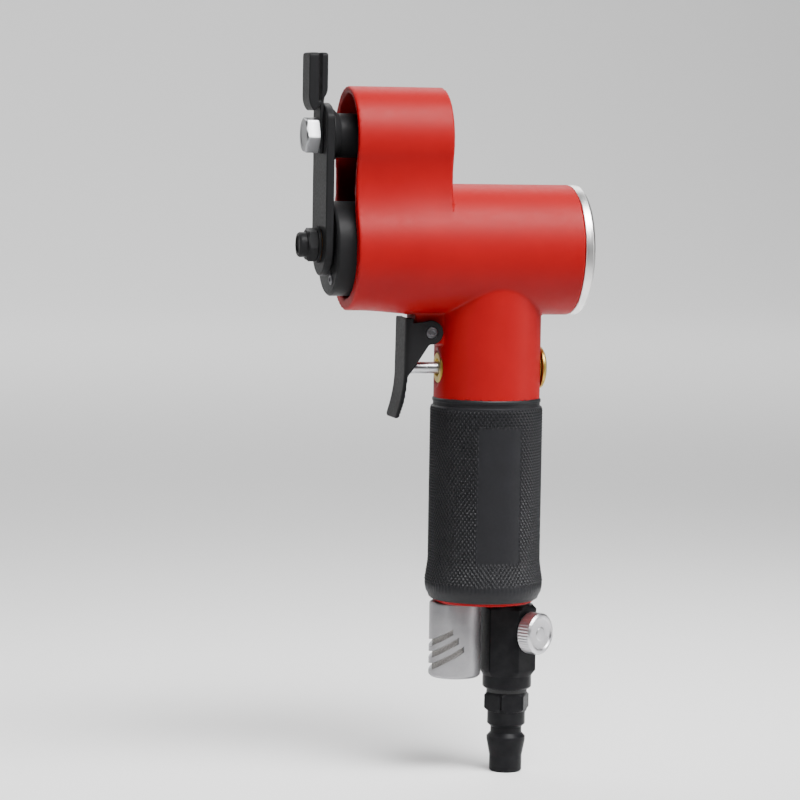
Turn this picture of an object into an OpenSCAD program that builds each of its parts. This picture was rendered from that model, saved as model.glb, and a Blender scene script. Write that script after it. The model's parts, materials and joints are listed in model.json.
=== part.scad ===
// Pneumatic air hammer: a vane motor in a barrel turns a crank disc, and a link
// plate on the crank and on an idler above it carries the fork round a small
// circle.  The handle below holds the valve, the trigger and the air inlet.
// X runs along the barrel (front is -X), Z up the handle, and Y = 0 is the
// middle plane.  The origin is the centre of the air plug's tip.

/* [Head] */
// Distance from the grip's axis to the open front of the head
head_front = 45.5; // [42:0.5:56]
// Distance from the grip's axis to the rear end of the motor barrel
barrel_rear = 25; // [22:0.5:36]
// Outer radius of the motor barrel
barrel_r = 20; // [19:0.5:26]
// Wall of the barrel around the cylinder liner
barrel_wall = 3; // [2.5:0.5:4]
// Distance between the motor's axis and the idler's axis
axis_gap = 33; // [31:0.5:42]
// Outer radius of the upper lobe
upper_r = 16.2; // [15.5:0.1:18]
// Radius by which the front lobe is smaller than the barrel
lobe_step = 1.2; // [0.2:0.1:2]
// Radius of the concave waist between the two lobes
waist_r = 25; // [20:1:40]
// Length of the upper lobe along the head
lobe_len = 29.8; // [29:0.1:34]
// Wall around the crank disc's cavity
lower_wall = 3.8; // [3:0.1:4.5]
// Wall around the idler's cavity
upper_wall = 2.1; // [1.8:0.1:3]
// Depth of the open cavity at the front of the head
cavity_depth = 21.5; // [21:0.5:24]
// Thickness of the silver end cap's rim
cap_t = 3.2; // [2:0.1:5]

/* [Motor] */
// Radius of the rotor
rotor_r = 12.2; // [10:0.1:13]
// Number of vanes in the rotor
vanes = 5; // [4:1:6]
// Thickness of a vane
vane_t = 1.5; // [1:0.1:2]
// Thickness of the front end plate, which holds the front bearing
front_plate_t = 6; // [6:0.5:9]
// Thickness of the rear end plate, which holds the rear bearing
rear_plate_t = 5.5; // [5.5:0.5:9]
// Radius of the rotor shaft where the crank disc is fixed
shaft_r = 4; // [3.4:0.1:4.4]

/* [Crank and link] */
// Radius of the crank disc
crank_r = 14.4; // [13:0.1:14.6]
// Sideways part of the crank's throw
throw_y = -1.6; // [-1.8:0.1:-0.4]
// Upward part of the crank's throw
throw_z = 1.2; // [0.4:0.1:1.6]
// Distance by which the crank disc stands out of the head
crank_out = 5.4; // [3:0.1:8]
// Thickness of the link plate
link_t = 2.5; // [1.5:0.1:4]
// Width of the link plate
link_w = 18.8; // [15:0.2:20]
// Height of the link plate above the clamp bolt
link_top = 9.8; // [8:0.1:14]
// Radius of the crank stud
stud_r = 3; // [2.5:0.1:3.4]
// Radius of the upper pin
pin_r = 6.7; // [5.5:0.1:7.2]
// Width across the flats of the M6 bolt head and nut
hex_af = 10; // [9:0.1:11]
// Height of the bolt head
head_t = 4.1; // [3:0.1:5]

/* [Fork] */
// Thickness of the fork's base plate
fork_t = 1.1; // [1:0.1:3]
// Width of the fork
fork_w = 9.8; // [8:0.1:12]
// Thickness of the front tine
front_tine = 3; // [2:0.1:4]
// Thickness of the rear tine
rear_tine = 1.9; // [1.5:0.1:3]
// Width of the slot between the tines
slot_w = 0.9; // [0.6:0.05:1.5]
// Depth of the slot
slot_depth = 14.7; // [8:0.1:15.5]
// Height of the fork above the clamp bolt
fork_top = 24.9; // [22:0.1:40]

/* [Handle] */
// Distance from the handle's lower end to the motor's axis
handle_len = 108.6; // [108:0.2:140]
// Radius of the handle's neck
neck_r = 16.4; // [16:0.1:18]
// Radius of the handle's core inside the grip sleeve
core_r = 15.2; // [14.8:0.1:15.6]
// Height of the red flange below the grip sleeve
flange_t = 1.5; // [1:0.1:4]
// Radius of the red flange
flange_r = 16.9; // [16:0.1:17.4]
// Length of the grip sleeve
grip_len = 61.7; // [50:0.1:62]
// Radius of the grip sleeve along its knurled length
grip_r = 17.1; // [16.6:0.1:19]
// Radius of the grip sleeve's flare at the bottom
flare_r = 18.1; // [17.4:0.1:20]
// Distance from the motor's axis down to the valve's axis
valve_drop = 36.3; // [35:0.1:38]

/* [Trigger] */
// Width of the trigger
trigger_w = 14.6; // [12:0.1:18]
// Thickness of the trigger's sheet
trigger_t = 1.2; // [1:0.1:1.6]
// Distance from the motor's axis down to the trigger's pivot
pivot_drop = 25.2; // [25:0.1:27]
// Distance from the grip's axis forward to the trigger's pivot
pivot_x = 19.6; // [19:0.1:22]
// Reach of the trigger's front face forward of its pivot
trigger_reach = 7.2; // [6:0.1:10]
// Length of the trigger below its pivot
trigger_drop = 26; // [22:0.1:34]
// Radius of the trigger's pivot pin
pivot_r = 1.75; // [1.5:0.05:2]
// Radius of the valve stem
stem_r = 1.85; // [1.4:0.05:2.1]

/* [Inlet and exhaust] */
// Distance of the air inlet's axis behind the grip's axis
inlet_x = 8.2; // [8:0.1:8.4]
// Width across the flats of the inlet body
inlet_af = 15.5; // [15:0.1:16.5]
// Height of the inlet body's hexagon
inlet_len = 22.1; // [18:0.1:30]
// Turn of the inlet body's flats about the inlet's axis
inlet_turn = 36.5; // [34:0.5:42]
// Distance of the muffler's axis in front of the grip's axis
muffler_x = 8.8; // [8.6:0.1:9]
// Radius of the muffler
muffler_r = 8.05; // [7:0.05:8.2]
// Length of the muffler below the handle
muffler_len = 23.4; // [20:0.1:40]
// Wall of the muffler
muffler_wall = 1.1; // [0.8:0.1:1.6]
// Radius of the regulator knob
knob_r = 6.4; // [5:0.1:7]
// Thickness of the regulator knob
knob_t = 5; // [4:0.1:7]

/* [Air plug] */
// Width across the flats of the plug's hexagon
plug_af = 12.6; // [12:0.1:14]
// Height of the plug's hexagon
plug_hex = 5.9; // [4:0.1:8]
// Length of the plug below its hexagon
plug_len = 19; // [17:0.1:24]
// Radius of the plug's collar and bulge
bulge_r = 6; // [5.6:0.05:6.2]
// Radius of the plug's tip
tip_r = 5.05; // [4.8:0.05:5.3]
// Radius of the plug's bore
bore_r = 3.2; // [2.5:0.1:3.8]

/* [Clearances] */
// Radial clearance of a turning or sliding fit
run_fit = 0.05; // [0.02:0.01:0.08]
// Gap between parts that move past each other
gap = 0.4; // [0.35:0.05:0.6]
// Radial clearance of the link pin in the idler
open_fit = 0.08; // [0.05:0.01:0.1]

/* [Hidden] */
$fn = 96;

// Heights, from the plug's tip upwards
seal_t = 1.2;
collar_h = 3.6;
plug_top = plug_len + plug_hex;
inlet_bottom = plug_top + seal_t;
inlet_hex_z = inlet_bottom + collar_h + 0.5;
inlet_top = inlet_hex_z + inlet_len;
handle_bottom = inlet_top + seal_t;
motor_z = handle_bottom + handle_len;
idler_z = motor_z + axis_gap;
valve_z = motor_z - valve_drop;
pivot_z = motor_z - pivot_drop;
grip_z = handle_bottom + flange_t;
grip_x = -inlet_x;

// Head, measured along X from the grip's axis
front_r = barrel_r - lobe_step;
bore_m = barrel_r - barrel_wall;
taper_x0 = -head_front + 9;
taper_x1 = -head_front + 19;
cavity_end = -head_front + cavity_depth;
plate_front = cavity_end + 6;
liner_x0 = plate_front + front_plate_t;
cap_spigot = 5.5;
cap_ring_r = 0.65;
cap_ring_x = barrel_rear - 2.2;
cap_face = barrel_rear + cap_t;
cap_edge = 0.8;
spanner_y = 0.6 * barrel_r;
plate_rear = barrel_rear - cap_spigot;
liner_x1 = plate_rear - rear_plate_t;
liner_off = 0.9;
liner_r = rotor_r + liner_off + 0.1;
crank_face = -head_front - crank_out;
crank_back = cavity_end - 2.2;
hub_r = 7;

// Bearings: outer radius, inner radius, width
front_brg = [11, 5, 6];
rear_brg = [7.5, 3, 5];
idler_brg = [11, 4, 7];

// Crank and link, along X
link_x1 = crank_face - 0.7;
link_x0 = link_x1 - link_t;
fork_x0 = link_x0 - fork_t;
washer_t = 0.7;
washer_x1 = link_x0 - 0.3;
washer_x0 = washer_x1 - washer_t;
nut_t = 3.1;
collar_t = 2.4;
stud_len = 10;
disc_edge = 0.6;
screw_r = 1.5;
screw_len = 5;
screw_y = -0.36 * crank_r;
screw_z = -0.62 * crank_r;
nut_x0 = washer_x0 - nut_t;
shoulder_r = stud_r + 2;
bush_r = stud_r + 1.8;
bolt_r = 3;
bolt_turn = 8;
bolt_end = link_x1 + 8.5;
pin_end = -head_front + 8.6;
idler_front = pin_end + gap;
idler_r = 11.8;
idler_back = cavity_end - 1;
journal_r = 4;
journal_end = idler_back - 4;

// Valve, along X
spot_x = -neck_r + 0.4;
chamber_r = 4.7;
bush_len = 8;
seat_x = 0.6;
seat_t = 2;
poppet_t = 2.2;
poppet_r = 4.2;
plug_face = neck_r - 0.3;
plug_spigot = 5;
bush_ring_r = 0.6;
bush_ring_seat = stem_r + run_fit + 2 * bush_ring_r + 0.05;
poppet_x1 = seat_x + seat_t + poppet_t;
spring_x0 = poppet_x1 + 1;
spring_x1 = plug_face - plug_spigot;
spring_r = 3.2;
wire_r = 0.4;
coils = 5;
steps = 14;
sides = 8;
plug_rim_r = chamber_r + 1.8;
trigger_lean = 0.088;
stem_gap = 0.25;

// Handle end
inlet_port_r = 5.6;
inlet_port_len = 9;
muffler_port_r = 4.8;
muffler_port_len = 8;
duct_r = 3;
supply_x = -3;
exhaust_x = -4;
exhaust_y = 9;
thread_r = 5;
thread_len = 8;
spindle_r = 2.4;
spindle_ring_r = 0.45;
knob_z = inlet_hex_z + 0.63 * inlet_len;

// A cylinder along X, from x0 to x1 measured from the grip's axis
module x_cyl(x0, x1, r, y = 0, z = motor_z, r2 = -1) {
    translate([grip_x + x0, y, z]) rotate([0, 90, 0])
        cylinder(h = x1 - x0, r1 = r, r2 = r2 < 0 ? r : r2);
}
// A flat outline drawn in Y and Z, extruded along X
module x_slab(x0, x1, y = 0, z = motor_z) {
    translate([grip_x + x0, y, z]) rotate([90, 0, 90]) linear_extrude(x1 - x0) children();
}
// A flat outline drawn in X and Z, extruded along Y and centred on y
module y_slab(w, x = 0, z = 0, y = 0) {
    translate([grip_x + x, y + w / 2, z]) rotate([90, 0, 0]) linear_extrude(w) children();
}
// A vertical cylinder, x measured from the grip's axis
module z_cyl(z0, z1, r, x = 0, y = 0, r2 = -1) {
    translate([grip_x + x, y, z0]) cylinder(h = z1 - z0, r1 = r, r2 = r2 < 0 ? r : r2);
}
// A plain washer or ring along X
module x_ring(x0, x1, r, hole, y = 0, z = motor_z) {
    difference() {
        x_cyl(x0, x1, r, y, z);
        x_cyl(x0 - 1, x1 + 1, hole, y, z);
    }
}
// A hexagon across the given flats
module hexagon(af) { circle(r = af / sqrt(3), $fn = 6); }
// A hexagonal prism of height h, its corners turned off over c at both ends
module chamfered_hex(af, h, c) {
    corner_r = af / sqrt(3) + 0.3;
    face_r = af / 2 - 0.2;
    intersection() {
        linear_extrude(h) hexagon(af);
        rotate_extrude()
            polygon([[0, 0], [face_r, 0], [corner_r, c], [corner_r, h - c], [face_r, h], [0, h]]);
    }
}
// A ring of round section about the X axis at x
module x_o_ring(x, r, section, y = 0, z = motor_z) {
    translate([grip_x + x, y, z]) rotate([0, 90, 0])
        rotate_extrude() translate([r, 0]) circle(section, $fn = 24);
}

// Two circles one above the other, joined by concave arcs of radius w
function waist_y(a, b, w) = (pow(a + w, 2) - pow(b + w, 2) + pow(axis_gap, 2)) / (2 * axis_gap);
function waist_x(a, b, w) = sqrt(pow(a + w, 2) - pow(waist_y(a, b, w), 2));
module peanut(a, b, w) {
    wx = waist_x(a, b, w);
    wy = waist_y(a, b, w);
    circle(a);
    translate([0, axis_gap]) circle(b);
    difference() {
        polygon([[0, 0], [wx, wy], [0, axis_gap], [-wx, wy]]);
        for (s = [-1, 1]) translate([s * wx, wy]) circle(w);
    }
}

// Ball bearings: [outer radius, inner radius, width]; balls run midway
ball_count = 9;
function race_mid(b) = (b[0] + b[1]) / 2;
function ball_r(b) = (b[0] - b[1]) * 0.28;
function race_wall(b) = (b[0] - b[1]) * 0.3;
module bearing_outer(b, x0, z = motor_z) {
    difference() {
        x_ring(x0, x0 + b[2], b[0], b[0] - race_wall(b), 0, z);
        x_o_ring(x0 + b[2] / 2, race_mid(b), ball_r(b) + 0.02, 0, z);
    }
}
module bearing_inner(b, x0, z = motor_z) {
    difference() {
        x_ring(x0, x0 + b[2], b[1] + race_wall(b), b[1], 0, z);
        x_o_ring(x0 + b[2] / 2, race_mid(b), ball_r(b) + 0.02, 0, z);
    }
}
module bearing_balls(b, x0, z = motor_z) {
    for (i = [0 : ball_count - 1]) translate([grip_x + x0 + b[2] / 2, 0, z])
        rotate([i * 360 / ball_count, 0, 0]) translate([0, race_mid(b), 0]) sphere(ball_r(b), $fn = 32);
}

// ---- Casing ----
module trigger_lug() {
    y_slab(trigger_w - 2 * trigger_t - 2 * gap) polygon([
        [-pivot_x - trigger_reach + trigger_t + 1.2, motor_z - barrel_r + 2],
        [-pivot_x - trigger_reach + trigger_t + 1.2, pivot_z + 1],
        [-pivot_x - 3.2, pivot_z - 3.4], [0, pivot_z - 4.2], [0, motor_z - barrel_r + 2]]);
}
module housing() {
    color([0.77, 0.19, 0.16]) difference() {
        union() {
            x_slab(-head_front, -head_front + lobe_len) peanut(front_r, upper_r, waist_r);
            x_cyl(taper_x0, taper_x1, front_r - 0.3, r2 = barrel_r);
            x_cyl(taper_x1, barrel_rear, barrel_r);
            z_cyl(grip_z + grip_len, motor_z, neck_r);
            z_cyl(grip_z, grip_z + grip_len + 1, core_r);
            z_cyl(handle_bottom, grip_z, flange_r);
            trigger_lug();
        }
        // open cavity at the front, bearing pocket above and shaft hole below
        x_slab(-head_front - 1, cavity_end)
            peanut(front_r - lower_wall, upper_r - upper_wall, waist_r + upper_wall);
        x_cyl(cavity_end - 1, cavity_end + idler_brg[2], idler_brg[0], 0, idler_z);
        x_cyl(cavity_end - 1, plate_front + 1, hub_r + 1);
        // motor bore
        x_cyl(plate_front, barrel_rear + 1, bore_m);
        // valve chamber with a spot face at each end
        x_cyl(-neck_r - 2, neck_r + 2, chamber_r, 0, valve_z);
        x_cyl(-pivot_x, spot_x, chamber_r + 1, 0, valve_z);
        x_cyl(plug_face, neck_r + 2, plug_rim_r + 0.2, 0, valve_z);
        // trigger pin
        translate([grip_x - pivot_x, 0, pivot_z]) rotate([90, 0, 0])
            cylinder(h = trigger_w + 4, r = pivot_r, center = true);
        // inlet port and its duct to the chamber, and the duct up to the motor
        z_cyl(handle_bottom - 1, handle_bottom + inlet_port_len, inlet_port_r, inlet_x);
        z_cyl(handle_bottom, valve_z, duct_r + 0.8, inlet_x);
        z_cyl(valve_z, motor_z - bore_m + 2, duct_r, supply_x);
        // exhaust: down beside the chamber, across, and out at the muffler
        z_cyl(valve_z - 18, motor_z - bore_m + 4, duct_r, exhaust_x, exhaust_y);
        translate([grip_x - muffler_x / 2 - 2, 0, valve_z - 17]) rotate([-90, 0, 0])
            cylinder(h = exhaust_y, r = duct_r);
        z_cyl(handle_bottom - 1, valve_z - 12, muffler_port_r, -muffler_x);
    }
}
module end_cap() {
    color([0.83, 0.83, 0.84]) difference() {
        union() {
            x_cyl(barrel_rear, cap_face - cap_edge, barrel_r);
            x_cyl(cap_face - cap_edge, cap_face, barrel_r, r2 = barrel_r - cap_edge);
            x_cyl(plate_rear, barrel_rear, bore_m);
        }
        x_o_ring(cap_ring_x, bore_m - cap_ring_r, cap_ring_r + 0.05);
        // clearance for the rear shaft end
        x_cyl(plate_rear - 1, barrel_rear - 1, rear_brg[1] + 2);
        // spanner holes
        for (s = [-1, 1]) x_cyl(cap_face - 2.2, cap_face + 1, 1.6, s * spanner_y);
    }
}
module cap_o_ring() {
    color([0.1, 0.1, 0.1]) x_o_ring(cap_ring_x, bore_m - cap_ring_r, cap_ring_r);
}

// ---- Motor ----
module cylinder_liner() {
    color([0.62, 0.62, 0.64]) difference() {
        x_cyl(liner_x0, liner_x1, bore_m);
        x_cyl(liner_x0 - 1, liner_x1 + 1, liner_r, 0, motor_z - liner_off);
        z_cyl(motor_z - bore_m - 1, motor_z - liner_r, duct_r, supply_x);
        z_cyl(motor_z - bore_m - 1, motor_z - 5, duct_r - 0.6, exhaust_x, exhaust_y);
    }
}
module front_end_plate() {
    color([0.62, 0.62, 0.64]) x_ring(plate_front, liner_x0, bore_m, front_brg[0]);
}
module rear_end_plate() {
    color([0.62, 0.62, 0.64]) x_ring(liner_x1, plate_rear, bore_m, rear_brg[0]);
}
module front_bearing_outer() { color("silver") bearing_outer(front_brg, plate_front); }
module front_bearing_balls() { color("white") bearing_balls(front_brg, plate_front); }
module front_bearing_inner() { color("silver") bearing_inner(front_brg, plate_front); }
module rear_bearing_outer() { color("silver") bearing_outer(rear_brg, liner_x1 + 0.3); }
module rear_bearing_balls() { color("white") bearing_balls(rear_brg, liner_x1 + 0.3); }
module rear_bearing_inner() { color("silver") bearing_inner(rear_brg, liner_x1 + 0.3); }
module vane_slots(t, r0, r1, x0, x1) {
    for (i = [0 : vanes - 1]) translate([grip_x + x0, 0, motor_z])
        rotate([i * 360 / vanes, 0, 0]) translate([0, r0, -t / 2]) cube([x1 - x0, r1 - r0, t]);
}
rotor_x0 = liner_x0 + 0.15;
rotor_x1 = liner_x1 - 0.15;
slot_r = rotor_r - 7;
module rotor() {
    color([0.5, 0.5, 0.52]) {
        difference() {
            x_cyl(rotor_x0, rotor_x1, rotor_r);
            vane_slots(vane_t + 0.1, slot_r, rotor_r + 1, rotor_x0 - 1, rotor_x1 + 1);
        }
        x_cyl(plate_front, rotor_x0, front_brg[1]);
        x_cyl(crank_back - 8, plate_front, shaft_r);
        x_cyl(rotor_x1, liner_x1 + 0.3 + rear_brg[2] + 1, rear_brg[1]);
    }
}
module rotor_vanes() {
    color([0.45, 0.3, 0.16]) vane_slots(vane_t, slot_r + 0.4, rotor_r - 0.15, rotor_x0 + 0.1, rotor_x1 - 0.1);
}

// ---- Crank, idler and link ----
module crank_disc() {
    color([0.13, 0.13, 0.14]) difference() {
        union() {
            x_cyl(crank_face + disc_edge, crank_back, crank_r);
            x_cyl(crank_face, crank_face + disc_edge, crank_r - disc_edge, r2 = crank_r);
            x_cyl(crank_back, plate_front - 0.3, hub_r);
        }
        x_cyl(crank_back - 8, plate_front + 1, shaft_r);
        x_cyl(crank_face - 1, crank_face + stud_len, stud_r, throw_y, motor_z + throw_z);
        x_cyl(crank_face - 1, crank_face + screw_len, screw_r, screw_y, motor_z + screw_z);
    }
}
module disc_screw() {
    color([0.35, 0.35, 0.36]) translate([0, screw_y, motor_z + screw_z]) difference() {
        union() {
            x_cyl(crank_face - 0.45, crank_face, screw_r + 0.4, 0, 0);
            x_cyl(crank_face, crank_face + screw_len, screw_r, 0, 0);
        }
        x_slab(crank_face - 1, crank_face + 1, 0, 0) hexagon(1.6);
    }
}
module crank_stud() {
    color([0.13, 0.13, 0.14]) {
        x_cyl(nut_x0 - 1, crank_face + stud_len, stud_r, throw_y, motor_z + throw_z);
        x_ring(crank_face - 0.3, crank_face, shoulder_r, stud_r - 0.5, throw_y, motor_z + throw_z);
    }
}
module crank_washer() {
    color([0.16, 0.16, 0.17])
        x_ring(washer_x0, washer_x1, shoulder_r + 0.6, stud_r, throw_y, motor_z + throw_z);
}
module crank_nut() {
    color([0.13, 0.13, 0.14]) difference() {
        union() {
            x_slab(nut_x0, washer_x0, throw_y, motor_z + throw_z) rotate(12) hexagon(hex_af - 0.8);
            x_cyl(nut_x0 - collar_t, nut_x0, stud_r + 0.8, throw_y, motor_z + throw_z);
        }
        x_cyl(nut_x0 - 3, washer_x0 + 1, stud_r, throw_y, motor_z + throw_z);
    }
}
module idler() {
    color([0.2, 0.2, 0.21]) difference() {
        union() {
            x_cyl(idler_front, idler_back, idler_r, 0, idler_z);
            x_cyl(idler_back, cavity_end + idler_brg[2] - 0.3, idler_brg[1], 0, idler_z);
        }
        x_cyl(idler_front - 1, journal_end + 1, journal_r + open_fit, throw_y, idler_z + throw_z);
    }
}
module idler_bearing_outer() { color("silver") bearing_outer(idler_brg, cavity_end, idler_z); }
module idler_bearing_balls() { color("white") bearing_balls(idler_brg, cavity_end, idler_z); }
module idler_bearing_inner() { color("silver") bearing_inner(idler_brg, cavity_end, idler_z); }
module link_plate() {
    color([0.13, 0.13, 0.14]) x_slab(link_x0, link_x1, throw_y, motor_z + throw_z) difference() {
        union() {
            circle(link_w / 2);
            translate([-link_w / 2, 0]) square([link_w, axis_gap]);
            intersection() {
                translate([-link_w / 2, axis_gap - 1]) square([link_w, link_top + 1]);
                translate([0, axis_gap - 4]) circle(link_top + 4);
            }
        }
        circle(bush_r);
        translate([0, axis_gap]) circle(bolt_r);
    }
}
module link_bush() {
    color([0.7, 0.5, 0.25]) x_ring(link_x0, link_x1, bush_r, stud_r + run_fit, throw_y, motor_z + throw_z);
}
module link_pin() {
    flare_x = link_x1 + 2.6;
    color([0.13, 0.13, 0.14]) difference() {
        union() {
            x_cyl(link_x1, flare_x, pin_r + 2.4, throw_y, idler_z + throw_z, r2 = pin_r);
            x_cyl(flare_x, pin_end, pin_r, throw_y, idler_z + throw_z);
            x_cyl(pin_end, journal_end, journal_r, throw_y, idler_z + throw_z);
        }
        x_cyl(link_x1 - 1, bolt_end + 0.5, bolt_r, throw_y, idler_z + throw_z);
    }
}
// Side view of the fork: base plate, forward bend and slotted bar
module fork() {
    bar_t = front_tine + slot_w + rear_tine;
    bar_x0 = fork_x0 - 3.5;
    bend_z = 5.9;
    color([0.13, 0.13, 0.14]) intersection() {
        difference() {
            y_slab(fork_w, 0, idler_z + throw_z, throw_y) {
                polygon([
                    [link_x0, -5.5], [link_x0, link_top + 1.6], [bar_x0 + bar_t, link_top + 2.6],
                    [bar_x0 + bar_t, fork_top - 0.8], [bar_x0 + bar_t - 0.8, fork_top],
                    [bar_x0 + 0.8, fork_top], [bar_x0, fork_top - 0.8],
                    [bar_x0, bend_z + 3], [bar_x0 + 3, bend_z], [fork_x0, bend_z], [fork_x0, -5.5]]);
                intersection() {
                    translate([bar_x0 + 3, bend_z + 3]) circle(3);
                    translate([bar_x0, bend_z]) square([link_x0 - bar_x0, 3]);
                }
            }
            y_slab(fork_w + 2, bar_x0 + front_tine, idler_z + throw_z + fork_top - slot_depth, throw_y)
                square([slot_w, slot_depth + 1]);
            x_cyl(fork_x0 - 1, link_x0 + 1, bolt_r, throw_y, idler_z + throw_z);
        }
        x_slab(bar_x0 - 1, 0, throw_y, idler_z + throw_z) {
            square([fork_w, 2 * (fork_top - 1.4)], center = true);
            intersection() {
                square([fork_w, 2 * fork_top], center = true);
                translate([0, fork_top - 11]) circle(11);
            }
        }
    }
}
module clamp_bolt() {
    color([0.85, 0.85, 0.86]) {
        x_slab(fork_x0 - head_t + 0.5, fork_x0, throw_y, idler_z + throw_z) rotate(bolt_turn) hexagon(hex_af);
        intersection() {
            x_slab(fork_x0 - head_t, fork_x0, throw_y, idler_z + throw_z) rotate(bolt_turn) hexagon(hex_af);
            x_cyl(fork_x0 - head_t, fork_x0 - head_t + 0.6, hex_af / 2,
                throw_y, idler_z + throw_z, r2 = hex_af / 2 + 1);
        }
        x_cyl(fork_x0, bolt_end, bolt_r, throw_y, idler_z + throw_z);
    }
}

// ---- Trigger and valve ----
face_x = -pivot_x - trigger_reach;
// Front face of the trigger at a height below the pivot
function face_at(d) = face_x - trigger_lean * d;
module trigger() {
    top = 4.4;
    ear_r = 3.6;
    cheek_drop = 14.6;
    // the blade below the cheeks curves forward in two steps, at bend and at curl
    bend = trigger_drop - 8;
    curl = bend + 4.5;
    curl_out = 0.3;
    tip_out = 1.6;
    color([0.16, 0.16, 0.17]) difference() {
        union() {
            y_slab(trigger_w, 0, pivot_z) {
                polygon([
                    [face_at(-top), top], [face_at(bend), -bend],
                    [face_at(curl) - curl_out, -curl], [face_at(trigger_drop) - tip_out, -trigger_drop],
                    [face_at(trigger_drop) - tip_out + 1.5 * trigger_t, -trigger_drop - curl_out],
                    [face_at(curl) - curl_out + 1.2 * trigger_t, -curl],
                    [face_at(bend) + trigger_t, -bend], [face_at(-top) + trigger_t, top]]);
            }
            difference() {
                y_slab(trigger_w, 0, pivot_z) {
                    translate([-pivot_x, 0]) circle(ear_r);
                    polygon([
                        [face_at(-top), top], [-pivot_x, ear_r], [-pivot_x + 1, -3.4], [-pivot_x - 1.5, -4],
                        [face_at(8) + 5.6, -10], [face_at(cheek_drop) + 2.6, -cheek_drop + 0.6],
                        [face_at(cheek_drop) + 1.5, -cheek_drop], [face_at(cheek_drop), -cheek_drop]]);
                }
                y_slab(trigger_w - 2 * trigger_t, 0, pivot_z) polygon([
                    [face_at(-top - 1) + trigger_t, top + 1],
                    [face_at(trigger_drop) + trigger_t, -trigger_drop],
                    [0, -trigger_drop], [0, top + 1]]);
            }
        }
        translate([grip_x - pivot_x, 0, pivot_z]) rotate([90, 0, 0])
            cylinder(h = trigger_w + 2, r = pivot_r + run_fit, center = true);
    }
}
module trigger_pin() {
    color([0.6, 0.6, 0.6]) translate([grip_x - pivot_x, 0, pivot_z]) rotate([90, 0, 0])
        cylinder(h = trigger_w + 0.4, r = pivot_r, center = true);
}
stem_tip = face_at(valve_drop - pivot_drop) + trigger_t + stem_gap;
module valve_stem() {
    color([0.8, 0.8, 0.8]) {
        x_cyl(stem_tip + 0.5, poppet_x1, stem_r, 0, valve_z);
        x_cyl(stem_tip, stem_tip + 0.5, stem_r - 0.5, 0, valve_z, r2 = stem_r);
        x_cyl(poppet_x1, spring_x0, poppet_r, 0, valve_z);
    }
}
module valve_poppet() {
    color([0.1, 0.1, 0.1]) x_ring(seat_x + seat_t, poppet_x1, poppet_r, stem_r, 0, valve_z);
}
module valve_bush() {
    color([0.78, 0.6, 0.25]) difference() {
        x_cyl(spot_x, spot_x + bush_len, chamber_r, 0, valve_z);
        x_cyl(spot_x - 1, spot_x + bush_len + 1, stem_r + run_fit, 0, valve_z);
        x_cyl(spot_x + bush_len - 2, spot_x + bush_len + 1, bush_ring_seat, 0, valve_z);
    }
}
module bush_o_ring() {
    color([0.1, 0.1, 0.1])
        x_o_ring(spot_x + bush_len - 1, stem_r + run_fit + bush_ring_r, bush_ring_r, 0, valve_z);
}
module valve_seat() {
    color([0.78, 0.6, 0.25]) x_ring(seat_x, seat_x + seat_t, chamber_r, stem_r + 1, 0, valve_z);
}
// The spring's wire, swept along a helix about X
function helix(i) = let (a = 360 * i / steps, p = (spring_x1 - spring_x0 - 2 * wire_r) / (coils * steps))
    [grip_x + spring_x0 + wire_r + p * i, spring_r * cos(a), valve_z + spring_r * sin(a)];
function wire_ring(i) = let (a = 360 * i / steps) [for (j = [0 : sides - 1]) let (b = 360 * j / sides)
    helix(i) + wire_r * [sin(b), cos(b) * cos(a), cos(b) * sin(a)]];
module valve_spring() {
    n = coils * steps;
    color("silver") polyhedron(
        [for (i = [0 : n]) each wire_ring(i)],
        concat(
            [[for (j = [0 : sides - 1]) j]],
            [for (i = [0 : n - 1]) for (j = [0 : sides - 1])
                let (a = i * sides, b = a + sides, k = (j + 1) % sides) [a + j, b + j, b + k, a + k]],
            [[for (j = [sides - 1 : -1 : 0]) n * sides + j]]));
}
module rear_plug() {
    color([0.78, 0.6, 0.25]) difference() {
        union() {
            x_cyl(plug_face - plug_spigot, plug_face, chamber_r, 0, valve_z);
            x_cyl(plug_face, plug_face + 1, plug_rim_r, 0, valve_z);
            x_cyl(plug_face + 1, plug_face + 2.2, plug_rim_r, 0, valve_z, r2 = plug_rim_r - 2);
        }
        x_slab(plug_face, plug_face + 4, 0, valve_z) hexagon(4);
    }
}

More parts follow.
